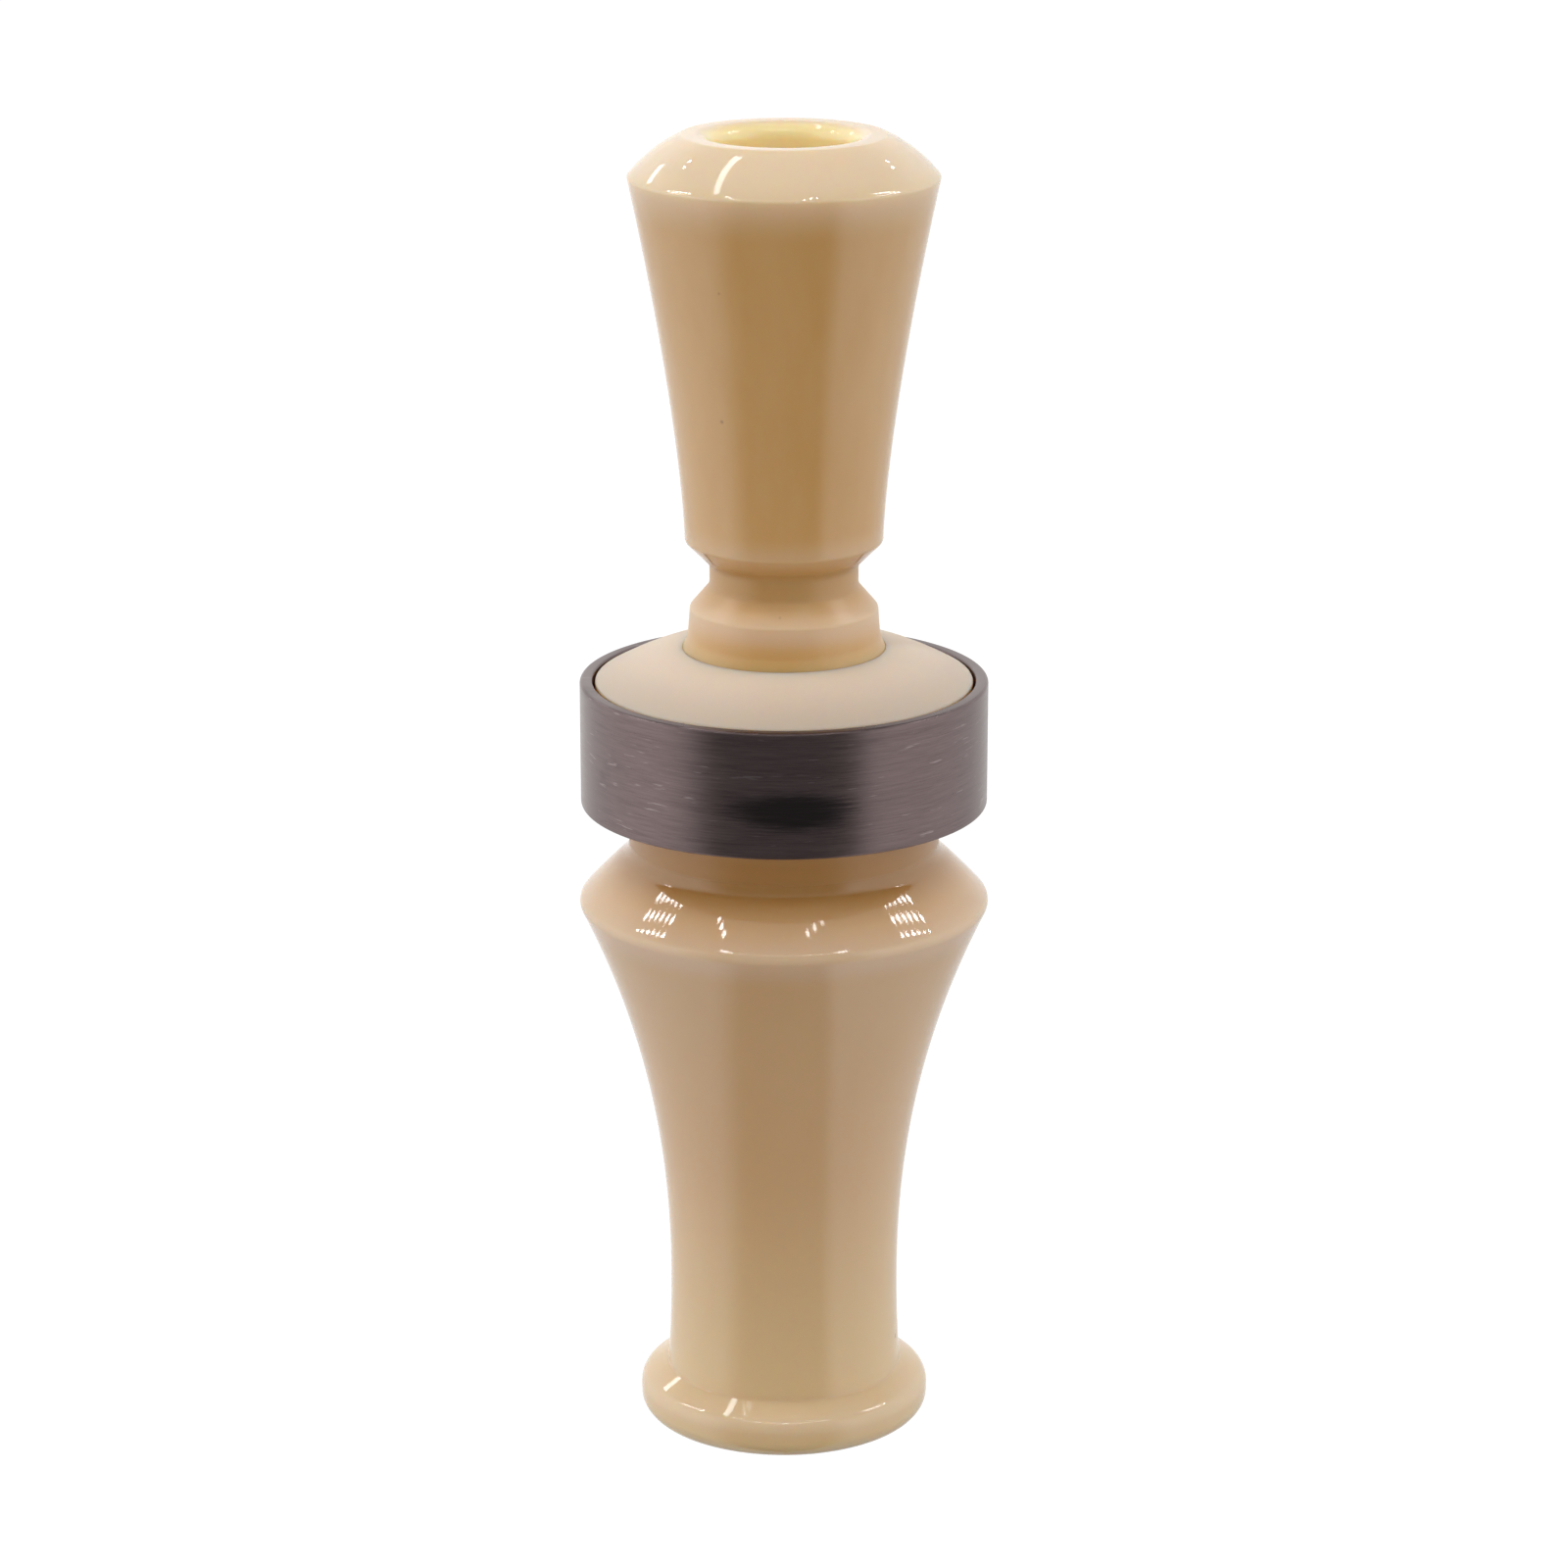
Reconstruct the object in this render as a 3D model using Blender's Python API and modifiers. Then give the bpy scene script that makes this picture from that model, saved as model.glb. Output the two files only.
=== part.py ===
"""Duck call: a turned barrel with a metal band, and a stopper that carries a reeded tone board.

The call stands on its mouthpiece with its axis on +Z. The origin is the centre of the mouthpiece's end
face, the reeds face -Y and the exhaust mouth is at the top. Lengths are in metres, and MM turns
millimetres into metres.
"""

import math

import bmesh
import bpy

MM = 0.001

# ---- driving dimensions ----
SEGMENTS = 36  # facets round every turned piece
BARREL_LENGTH = 74.5 * MM  # mouthpiece end to the top of the domed end
CALL_LENGTH = 121.2 * MM  # mouthpiece end to exhaust mouth
BAND_RADIUS = 18.6 * MM
BAND_WALL = 1.15 * MM
BAND_TOP = 71.5 * MM
BAND_HEIGHT = 11.6 * MM
BAND_FIT = 0.25 * MM  # all round, between the band and its tenon
EDGE_RADIUS = 18.98 * MM  # the barrel's widest edge before it is rounded
EDGE_Z = 50.65 * MM
WAIST_RADIUS = 10.64 * MM
WAIST_Z = 13.0 * MM
FOOT_RADIUS = 13.5 * MM
BORE_RADIUS = 7.95 * MM  # 5/8 in through bore
GROOVE_RADIUS = 14.2 * MM  # lanyard groove's floor
COLLAR_RADIUS = 8.55 * MM
COLLAR_FLARE = 0.7 * MM  # how far the collar's foot spreads
SEAT_DEPTH = 0.5 * MM  # of the recess round the stopper's foot
NECK_RADIUS = 6.75 * MM
BELL_RADIUS = 13.9 * MM  # the stopper's widest edge
EXHAUST_RADIUS = 6.35 * MM  # 1/2 in exhaust bore
THROAT_RADIUS = 4.75 * MM  # 3/8 in throat
GAP = 0.3 * MM  # between pieces that meet
SLIP = 0.2 * MM  # between pieces that turn or press into each other

# ---- tone board, reeds and wedge ----
SHANK_RADIUS = 7.7 * MM
SPIGOT_RADIUS = 5.0 * MM
SPIGOT_BORE = 3.4 * MM
SPIGOT_LENGTH = 13.5 * MM
SHANK_LENGTH = 17.4 * MM
BOARD_LENGTH = 62.4 * MM  # shank and board together, from the shank's top face to the tip
BOARD_RADIUS = 7.3 * MM
TABLE_Y = -1.2 * MM  # the plane that the reeds lie on
TABLE_DROP = 1.2 * MM  # how far the table curves away from the reeds at the tip
TIP_THICKNESS = 3.4 * MM
CHANNEL_RADIUS = 2.9 * MM
CHANNEL_Y = 2.2 * MM
NOTCH_DEPTH = 9.5 * MM
NOTCH_CEILING_Y = -5.2 * MM
REED_WIDTH = 12.5 * MM
LONG_REED_THICKNESS = 0.36 * MM
SHORT_REED_THICKNESS = 0.25 * MM
SHORT_REED_SETBACK = 9.5 * MM  # how much sooner the short reed ends
WEDGE_WIDTH = 10.4 * MM
RING_SECTION = 1.78 * MM  # O-ring section before it is squeezed
RING_SQUEEZE = 0.33 * MM
RING_PITCH = 3.6 * MM
RING_CLEARANCE = 0.05 * MM  # between a squeezed ring and the bore
FIRST_RING_DROP = 2.4 * MM  # from the shank's top face to the upper ring's centre

# ---- places worked out from them ----
SEAT_Z = BARREL_LENGTH - SEAT_DEPTH  # floor of the recess that the stopper's foot sits in
FOOT_Z = SEAT_Z + SLIP  # underside of the stopper
SHANK_TOP = FOOT_Z - GAP
SHANK_BOTTOM = SHANK_TOP - SHANK_LENGTH
TIP_Z = SHANK_TOP - BOARD_LENGTH
NOTCH_TOP = SHANK_BOTTOM + NOTCH_DEPTH
CLAMP_Z = SHANK_BOTTOM + NOTCH_DEPTH / 2  # the reeds' hinge line, half way along the notch
LONG_REED_Y = TABLE_Y - GAP - LONG_REED_THICKNESS / 2
SHORT_REED_Y = LONG_REED_Y - LONG_REED_THICKNESS / 2 - GAP - SHORT_REED_THICKNESS / 2


# ---- outlines, as (radius, z) points ----
def rounded(corners, steps=3):
    """A path through corners of (r, z, fillet radius), each fillet an arc of a few points."""
    path = []
    for i, (r, z, fillet) in enumerate(corners):
        if not fillet:
            path.append((r, z))
            continue
        before = corners[i - 1]
        after = corners[i + 1]
        to_before = math.atan2(before[1] - z, before[0] - r)
        to_after = math.atan2(after[1] - z, after[0] - r)
        opening = (to_after - to_before + math.pi) % (2 * math.pi) - math.pi
        middle = to_before + opening / 2
        reach = fillet / math.sin(abs(opening) / 2)
        centre_r = r + reach * math.cos(middle)
        centre_z = z + reach * math.sin(middle)
        turn = math.copysign(math.pi - abs(opening), opening)
        for k in range(steps + 1):
            angle = middle + math.pi - turn * (k / steps - 0.5)
            path.append((centre_r + fillet * math.cos(angle), centre_z + fillet * math.sin(angle)))
    return path


def crowned(start, end, crown, steps):
    """Corners strictly between two (r, z) points, on a line that swells outward by crown at its middle."""
    length = math.dist(start, end)
    out_r = abs(end[1] - start[1]) / length
    out_z = abs(end[0] - start[0]) / length
    corners = []
    for k in range(1, steps):
        t = k / steps
        swell = crown * 4 * t * (1 - t)
        r = start[0] + (end[0] - start[0]) * t + out_r * swell
        z = start[1] + (end[1] - start[1]) * t + out_z * swell
        corners.append((r, z, 0))
    return corners


def bend(start, end, r_power, z_power, steps):
    """Corners strictly between two (r, z) points, on a curve where each value changes as a power of t."""
    corners = []
    for k in range(1, steps):
        t = k / steps
        r = start[0] + (end[0] - start[0]) * t**r_power
        z = start[1] + (end[1] - start[1]) * t**z_power
        corners.append((r, z, 0))
    return corners


# ---- Blender helpers ----
def clear_scene():
    for obj in list(bpy.data.objects):
        bpy.data.objects.remove(obj, do_unlink=True)


def new_collection(name):
    collection = bpy.data.collections.new(name)
    bpy.context.scene.collection.children.link(collection)
    return collection


def material(name, colour, roughness, metallic=0.0, transmission=0.0):
    mat = bpy.data.materials.new(name)
    mat.use_nodes = True
    shader = mat.node_tree.nodes["Principled BSDF"]
    shader.inputs["Base Color"].default_value = (*colour, 1.0)
    shader.inputs["Roughness"].default_value = roughness
    shader.inputs["Metallic"].default_value = metallic
    shader.inputs["Transmission Weight"].default_value = transmission
    mat.diffuse_color = (*colour, 1.0)
    return mat


def add_object(name, mesh, collection, mat=None):
    obj = bpy.data.objects.new(name, mesh)
    collection.objects.link(obj)
    if mat:
        mesh.materials.clear()
        mesh.materials.append(mat)
    return obj


def smooth(mesh, angle_deg=30):
    mesh.shade_smooth()
    mesh.set_sharp_from_angle(angle=math.radians(angle_deg))


def turned(name, outline, collection, mat=None, closed=True):
    """Turns an outline about Z. A closed outline gives a ring, an open one ends on the axis."""
    mesh = bpy.data.meshes.new(name)
    bm = bmesh.new()
    verts = [bm.verts.new((r, 0, z)) for r, z in outline]
    for a, b in zip(verts, verts[1:]):
        bm.edges.new((a, b))
    if closed:
        bm.edges.new((verts[-1], verts[0]))
    bm.to_mesh(mesh)
    bm.free()
    obj = add_object(name, mesh, collection, mat)
    screw = obj.modifiers.new("turn", "SCREW")
    screw.axis = "Z"
    screw.angle = 2 * math.pi
    screw.steps = SEGMENTS
    screw.render_steps = SEGMENTS
    screw.use_merge_vertices = True
    screw.merge_threshold = 0.00001
    return bake(obj)


def bake(obj):
    """Replaces an object's mesh with its evaluated one, welded and shaded smooth."""
    depsgraph = bpy.context.evaluated_depsgraph_get()
    mesh = bpy.data.meshes.new_from_object(obj.evaluated_get(depsgraph))
    bm = bmesh.new()
    bm.from_mesh(mesh)
    bmesh.ops.remove_doubles(bm, verts=bm.verts, dist=0.000001)
    bmesh.ops.dissolve_degenerate(bm, edges=bm.edges, dist=0.000001)
    bm.to_mesh(mesh)
    bm.free()
    smooth(mesh)
    obj.modifiers.clear()
    obj.data = mesh
    return obj


def box(name, low, high, collection, mat=None):
    mesh = bpy.data.meshes.new(name)
    bm = bmesh.new()
    bmesh.ops.create_cube(bm, size=1)
    for vert in bm.verts:
        for axis in range(3):
            middle = (low[axis] + high[axis]) / 2
            vert.co[axis] = middle + vert.co[axis] * (high[axis] - low[axis])
    bm.to_mesh(mesh)
    bm.free()
    return add_object(name, mesh, collection, mat)


def rod(name, radius, x, y, z_low, z_high, collection):
    """A closed cylinder along Z."""
    mesh = bpy.data.meshes.new(name)
    bm = bmesh.new()
    bmesh.ops.create_cone(
        bm, cap_ends=True, segments=SEGMENTS, radius1=radius, radius2=radius, depth=z_high - z_low
    )
    bmesh.ops.translate(bm, verts=bm.verts, vec=(x, y, (z_low + z_high) / 2))
    bm.to_mesh(mesh)
    bm.free()
    smooth(mesh)
    return add_object(name, mesh, collection)


def plate(name, outline, thickness, collection, mat=None):
    """A flat outline of (x, y) points, given a thickness along its own Z, as a welded mesh."""
    curve = bpy.data.curves.new(name, "CURVE")
    curve.dimensions = "2D"
    curve.fill_mode = "BOTH"
    curve.extrude = thickness / 2
    spline = curve.splines.new("POLY")
    spline.points.add(len(outline) - 1)
    for point, (x, y) in zip(spline.points, outline):
        point.co = (x, y, 0, 1)
    spline.use_cyclic_u = True
    drawn = bpy.data.objects.new(name + "_outline", curve)
    collection.objects.link(drawn)
    depsgraph = bpy.context.evaluated_depsgraph_get()
    mesh = bpy.data.meshes.new_from_object(drawn.evaluated_get(depsgraph))
    bpy.data.objects.remove(drawn, do_unlink=True)
    bm = bmesh.new()
    bm.from_mesh(mesh)
    bmesh.ops.remove_doubles(bm, verts=bm.verts, dist=0.000001)
    bmesh.ops.recalc_face_normals(bm, faces=bm.faces)
    bm.to_mesh(mesh)
    bm.free()
    return add_object(name, mesh, collection, mat)


def combine(obj, operation, tool):
    """Adds an exact Boolean, and marks the other object as a tool."""
    boolean = obj.modifiers.new(operation.lower(), "BOOLEAN")
    boolean.operation = operation
    boolean.solver = "EXACT"
    boolean.object = tool
    tool.hide_render = True
    tool.display_type = "WIRE"


# ---- the pieces ----
def make_barrel(parts, mat):
    """Flared barrel with a rolled mouthpiece lip, a lanyard groove, a tenon for the band and a domed end."""
    tenon_radius = BAND_RADIUS - BAND_WALL - BAND_FIT
    recess_radius = COLLAR_RADIUS + COLLAR_FLARE + BAND_FIT
    flange_z = BAND_TOP - BAND_HEIGHT + 0.1 * MM
    shoulder_z = 55.45 * MM
    dome_edge_z = BAND_TOP - 0.05 * MM
    edge = (EDGE_RADIUS, EDGE_Z)
    waist = (WAIST_RADIUS, WAIST_Z)
    crease = (10.95 * MM, 4.85 * MM)
    lip_slope_z = 3.5 * MM
    corners = [(BORE_RADIUS, SEAT_Z, 0), (recess_radius, SEAT_Z, 0), (recess_radius, BARREL_LENGTH, 0)]
    corners += bend((recess_radius, BARREL_LENGTH), (tenon_radius, dome_edge_z), 1, 1.5, 6)
    corners += [(tenon_radius, dome_edge_z, 0.35 * MM)]
    corners += [(tenon_radius, flange_z, 0), (GROOVE_RADIUS, flange_z, 0.7 * MM)]
    corners += [(GROOVE_RADIUS, shoulder_z, 2.2 * MM)]
    corners += [(*edge, 0.9 * MM), *reversed(bend(waist, edge, 2.2, 1, 10)), (*waist, 0)]
    corners += bend(waist, crease, 2, 1, 3)
    corners += [(*crease, 0.4 * MM), (FOOT_RADIUS, lip_slope_z, 1.7 * MM)]
    corners += [(FOOT_RADIUS, 0, 1.7 * MM), (BORE_RADIUS, 0, 1.2 * MM)]
    outline = rounded(corners + [(BORE_RADIUS, BARREL_LENGTH / 3, 0)])
    return turned("barrel", outline, parts, mat)


def make_band(parts, mat):
    """Metal band on the barrel's tenon, a little proud of the domed end."""
    inner = BAND_RADIUS - BAND_WALL
    bottom = BAND_TOP - BAND_HEIGHT
    corners = [(inner, BAND_TOP - BAND_HEIGHT / 2, 0), (inner, BAND_TOP, 0.2 * MM)]
    corners += [(BAND_RADIUS, BAND_TOP, 0.3 * MM), (BAND_RADIUS, bottom, 0.3 * MM)]
    corners += [(inner, bottom, 0.2 * MM)]
    return turned("band", rounded(corners + [corners[0]], steps=2)[:-1], parts, mat)


def make_stopper(parts, mat):
    """Stopper with a collar, a narrow neck and a bell that flares to a bevelled exhaust mouth."""
    lip = (9.2 * MM, CALL_LENGTH)
    bell_edge = (BELL_RADIUS + 0.05 * MM, CALL_LENGTH - 3.7 * MM)
    bell_foot = (8.98 * MM, 84.5 * MM)
    collar_edge_z = 78.25 * MM
    foot_radius = COLLAR_RADIUS + COLLAR_FLARE
    socket_top = SHANK_TOP + SPIGOT_LENGTH + GAP
    socket_radius = SPIGOT_RADIUS + SLIP
    corners = [(EXHAUST_RADIUS, CALL_LENGTH, 1.5 * MM), (*lip, 0.8 * MM)]
    corners += [*crowned(lip, bell_edge, 0.35 * MM, 4), (*bell_edge, 0.35 * MM)]
    corners += reversed(bend(bell_foot, bell_edge, 1.42, 1, 7))
    corners += [(*bell_foot, 0.5 * MM), (NECK_RADIUS, 82.3 * MM, 0.9 * MM)]
    corners += [(NECK_RADIUS, 80.35 * MM, 1.0 * MM), (COLLAR_RADIUS, collar_edge_z, 0.5 * MM)]
    corners += [(COLLAR_RADIUS + 0.2 * MM, FOOT_Z + 1.3 * MM, 1.2 * MM), (foot_radius, FOOT_Z + 0.25 * MM, 0)]
    corners += [(foot_radius, FOOT_Z, 0), (socket_radius, FOOT_Z, 0.2 * MM)]
    corners += [(socket_radius, socket_top, 0), (THROAT_RADIUS, socket_top, 0)]
    corners += [(THROAT_RADIUS, socket_top + 4 * MM, 0), (EXHAUST_RADIUS, CALL_LENGTH - 6 * MM, 0)]
    return turned("stopper", rounded([corners[-1]] + corners)[1:], parts, mat)


def make_tone_board(parts, tools, mat):
    """Moulded tone board: spigot, grooved shank, half-round board, air channel and notch for the reeds."""
    spigot_top = SHANK_TOP + SPIGOT_LENGTH
    groove_floor = BORE_RADIUS - RING_CLEARANCE - (RING_SECTION - RING_SQUEEZE) - 0.1 * MM
    groove_half = RING_SECTION / 2 + 0.2 * MM
    corners = [(0, spigot_top, 0), (SPIGOT_RADIUS, spigot_top, 0.4 * MM), (SPIGOT_RADIUS, SHANK_TOP, 0)]
    corners += [(SHANK_RADIUS, SHANK_TOP, 0.3 * MM)]
    for ring_z in ring_heights():
        corners += [(SHANK_RADIUS, ring_z + groove_half, 0), (groove_floor, ring_z + groove_half, 0)]
        corners += [(groove_floor, ring_z - groove_half, 0), (SHANK_RADIUS, ring_z - groove_half, 0)]
    corners += [(SHANK_RADIUS, SHANK_BOTTOM, 0.3 * MM), (0, SHANK_BOTTOM, 0)]
    board = turned("tone_board", rounded(corners, steps=2), parts, mat, closed=False)

    lower = rod("board_round", BOARD_RADIUS, 0, 0, TIP_Z, SHANK_BOTTOM + 2 * MM, tools)
    side = plate("board_side", board_outline(), 4 * BOARD_RADIUS, tools)
    side.rotation_euler = (0, -math.pi / 2, 0)
    combine(lower, "INTERSECT", side)
    combine(board, "UNION", lower)

    notch_low = (-2 * SHANK_RADIUS, NOTCH_CEILING_Y, SHANK_BOTTOM - 1 * MM)
    notch_high = (2 * SHANK_RADIUS, TABLE_Y, NOTCH_TOP)
    combine(board, "DIFFERENCE", box("notch", notch_low, notch_high, tools))

    channel_end = TIP_Z + 5 * MM
    channel_start = SHANK_BOTTOM - 1.5 * MM
    slot_low = (-CHANNEL_RADIUS, 2 * TABLE_Y, channel_end)
    slot_high = (CHANNEL_RADIUS, CHANNEL_Y, channel_start)
    combine(board, "DIFFERENCE", box("channel_slot", slot_low, slot_high, tools))
    air_way = rod("channel_round", CHANNEL_RADIUS, 0, CHANNEL_Y, channel_end, SHANK_TOP - 2 * MM, tools)
    combine(board, "DIFFERENCE", air_way)
    spigot_way = rod("spigot_bore", SPIGOT_BORE, 0, 0, SHANK_TOP - 4 * MM, spigot_top + 2 * MM, tools)
    combine(board, "DIFFERENCE", spigot_way)
    return board


def board_outline():
    """The board from its side, as (z, y) points: a table that curves away, a back that rises to the tip."""
    steps = 8
    flat_end = SHANK_BOTTOM - 3 * MM
    points = [(SHANK_BOTTOM + 4 * MM, TABLE_Y)]
    for k in range(steps + 1):
        t = k / steps
        points.append((flat_end + (TIP_Z - flat_end) * t, TABLE_Y + TABLE_DROP * t * t))
    tip_y = TABLE_Y + TABLE_DROP
    points.append((TIP_Z, tip_y + TIP_THICKNESS))
    points.append((TIP_Z + 18 * MM, 1.2 * BOARD_RADIUS))
    points.append((SHANK_BOTTOM + 4 * MM, 1.2 * BOARD_RADIUS))
    return points


def make_reed(name, thickness, y, tip_z, parts, mat):
    """A thin reed in the XZ plane, its origin on the hinge line, with rounded corners at the tip."""
    half = REED_WIDTH / 2
    tip_round = 2.5 * MM
    tail_z = NOTCH_TOP - GAP - CLAMP_Z
    tip = tip_z - CLAMP_Z
    corners = [(half, tail_z, 0), (half, tip, tip_round), (-half, tip, tip_round), (-half, tail_z, 0)]
    reed = plate(name, rounded(corners, steps=5), thickness, parts, mat)
    reed.rotation_euler = (math.pi / 2, 0, 0)
    reed.location = (0, y, CLAMP_Z)
    return reed


def make_wedge(parts, mat):
    """Cork wedge that holds the reeds' tails down in the notch, its long edges eased."""
    low_y = NOTCH_CEILING_Y + GAP
    high_y = SHORT_REED_Y - SHORT_REED_THICKNESS / 2 - GAP
    low = (-WEDGE_WIDTH / 2, low_y, SHANK_BOTTOM - 0.6 * MM)
    high = (WEDGE_WIDTH / 2, high_y, NOTCH_TOP - GAP)
    wedge = box("reed_wedge", low, high, parts, mat)
    bevel = wedge.modifiers.new("eased_edges", "BEVEL")
    bevel.width = 0.25 * MM
    bevel.segments = 2
    return wedge


def ring_heights():
    first = SHANK_TOP - FIRST_RING_DROP
    return [first, first - RING_PITCH]


def make_o_ring(name, ring_z, parts, mat):
    """O-ring, squeezed between its groove and the bore into a slightly tall section."""
    half_width = (RING_SECTION - RING_SQUEEZE) / 2
    half_height = RING_SECTION / 2
    centre = BORE_RADIUS - RING_CLEARANCE - half_width
    points = 8
    outline = []
    for k in range(points):
        angle = math.pi / 2 - 2 * math.pi * k / points
        outline.append((centre + half_width * math.cos(angle), ring_z + half_height * math.sin(angle)))
    return turned(name, outline, parts, mat)


def main():
    clear_scene()
    parts = new_collection("duck_call")
    tools = new_collection("cutters")
    ivory = material("ivory_acrylic", (0.78, 0.60, 0.38), 0.12)
    metal = material("brushed_band", (0.42, 0.38, 0.38), 0.35, metallic=1.0)
    clear = material("tone_board_plastic", (0.80, 0.83, 0.84), 0.25, transmission=0.5)
    film = material("reed_film", (0.86, 0.88, 0.88), 0.2, transmission=0.6)
    cork = material("cork", (0.45, 0.28, 0.15), 0.85)
    rubber = material("black_rubber", (0.02, 0.02, 0.02), 0.6)

    make_barrel(parts, ivory)
    make_band(parts, metal)
    make_stopper(parts, ivory)
    make_tone_board(parts, tools, clear)
    long_tip = TIP_Z + 1.5 * MM
    make_reed("long_reed", LONG_REED_THICKNESS, LONG_REED_Y, long_tip, parts, film)
    make_reed("short_reed", SHORT_REED_THICKNESS, SHORT_REED_Y, long_tip + SHORT_REED_SETBACK, parts, film)
    make_wedge(parts, cork)
    for name, ring_z in zip(["upper_o_ring", "lower_o_ring"], ring_heights()):
        make_o_ring(name, ring_z, parts, rubber)


main()
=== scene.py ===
import math

import bmesh
import bpy
from mathutils import Matrix, Vector, noise


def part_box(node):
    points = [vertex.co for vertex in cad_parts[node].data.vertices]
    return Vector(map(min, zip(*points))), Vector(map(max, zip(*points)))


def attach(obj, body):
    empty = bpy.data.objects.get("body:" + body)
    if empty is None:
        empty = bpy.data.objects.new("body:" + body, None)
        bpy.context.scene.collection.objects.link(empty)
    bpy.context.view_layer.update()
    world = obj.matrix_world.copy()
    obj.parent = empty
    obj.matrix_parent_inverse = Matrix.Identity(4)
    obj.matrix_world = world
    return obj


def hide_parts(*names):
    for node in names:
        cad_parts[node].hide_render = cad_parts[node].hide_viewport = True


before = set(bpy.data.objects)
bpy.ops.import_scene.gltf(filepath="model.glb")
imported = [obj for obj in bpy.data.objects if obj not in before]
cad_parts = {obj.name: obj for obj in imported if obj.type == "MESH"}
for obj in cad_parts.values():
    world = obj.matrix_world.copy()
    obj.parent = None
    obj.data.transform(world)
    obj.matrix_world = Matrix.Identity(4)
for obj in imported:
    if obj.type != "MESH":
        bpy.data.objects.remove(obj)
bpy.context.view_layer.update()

scene = bpy.context.scene

# ---- sizes, in metres: the outer ones from the frame, the others as the CAD has them ----
MM = 0.001
SEGMENTS = 192
FILLET_STEPS = 8
WAVINESS = 0.012 * MM  # how far the hand-polished surface wanders inward
BARREL_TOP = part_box("barrel")[1][2]
BAND_LOW, BAND_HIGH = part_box("band")
STOPPER_LOW, STOPPER_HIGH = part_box("stopper")
BAND_RADIUS = BAND_HIGH[0]
BAND_WALL = 1.15 * MM
BAND_GAP = 0.25 * MM
BAND_TOP = BAND_HIGH[2]
BAND_BOTTOM = BAND_LOW[2]
CALL_TOP = STOPPER_HIGH[2]
FOOT_Z = STOPPER_LOW[2]
BORE_RADIUS = 7.95 * MM
EDGE_RADIUS = 18.98 * MM
EDGE_Z = 50.65 * MM
WAIST_RADIUS = 10.64 * MM
WAIST_Z = 13.0 * MM
FOOT_RADIUS = 13.5 * MM
GROOVE_RADIUS = 14.2 * MM
COLLAR_RADIUS = 8.55 * MM
FLARED_RADIUS = COLLAR_RADIUS + 0.7 * MM
NECK_RADIUS = 6.75 * MM
BELL_RADIUS = 13.9 * MM
EXHAUST_RADIUS = 6.35 * MM
THROAT_RADIUS = 4.75 * MM
GAP = 0.3 * MM
SLIP = 0.2 * MM

SHANK_RADIUS = 7.7 * MM
SPIGOT_RADIUS = 5.0 * MM
SPIGOT_BORE = 3.4 * MM
SPIGOT_LENGTH = 13.5 * MM
SHANK_TOP = FOOT_Z - GAP
SHANK_BOTTOM = SHANK_TOP - 17.4 * MM
TIP_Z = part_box("tone_board")[0][2]
BOARD_RADIUS = 7.3 * MM
TABLE_Y = -1.2 * MM
TABLE_DROP = 1.2 * MM
TIP_THICKNESS = 3.4 * MM
CHANNEL_RADIUS = 2.9 * MM
CHANNEL_Y = 2.2 * MM
NOTCH_TOP = SHANK_BOTTOM + 9.5 * MM
NOTCH_CEILING_Y = -5.2 * MM
RING_SECTION = 1.78 * MM
RING_SQUEEZE = 0.33 * MM


# ---- outlines, as (radius, z) points ----
def rounded(corners, steps=FILLET_STEPS):
    """A closed path through corners of (r, z, fillet radius), each fillet an arc."""
    path = []
    for i, (r, z, fillet) in enumerate(corners):
        if not fillet:
            path.append((r, z))
            continue
        before = corners[i - 1]
        after = corners[(i + 1) % len(corners)]
        to_before = math.atan2(before[1] - z, before[0] - r)
        to_after = math.atan2(after[1] - z, after[0] - r)
        opening = (to_after - to_before + math.pi) % (2 * math.pi) - math.pi
        middle = to_before + opening / 2
        reach = fillet / math.sin(abs(opening) / 2)
        centre_r = r + reach * math.cos(middle)
        centre_z = z + reach * math.sin(middle)
        turn = math.copysign(math.pi - abs(opening), opening)
        for k in range(steps + 1):
            angle = middle + math.pi - turn * (k / steps - 0.5)
            path.append((centre_r + fillet * math.cos(angle), centre_z + fillet * math.sin(angle)))
    return path


def bend(start, end, r_power, z_power, steps):
    """Corners strictly between two (r, z) points, where each value changes as a power of t."""
    corners = []
    for k in range(1, steps):
        t = k / steps
        r = start[0] + (end[0] - start[0]) * t**r_power
        z = start[1] + (end[1] - start[1]) * t**z_power
        corners.append((r, z, 0))
    return corners


def crowned(start, end, crown, steps):
    """Corners strictly between two points on a slope that swells outward by crown at its middle."""
    along = Vector((end[0] - start[0], end[1] - start[1]))
    out = Vector((-along.y, along.x)).normalized()
    if out.x < 0:
        out = -out
    corners = []
    for k in range(1, steps):
        t = k / steps
        place = Vector(start) + along * t + out * (crown * 4 * t * (1 - t))
        corners.append((place.x, place.y, 0))
    return corners


# ---- mesh helpers ----
def new_object(name, mesh, body, mat, nodes):
    obj = bpy.data.objects.new(name, mesh)
    scene.collection.objects.link(obj)
    mesh.materials.clear()
    mesh.materials.append(mat)
    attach(obj, body)
    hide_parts(*nodes)
    return obj


def smooth(mesh, angle_deg=28):
    mesh.shade_smooth()
    mesh.set_sharp_from_angle(angle=math.radians(angle_deg))


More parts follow.
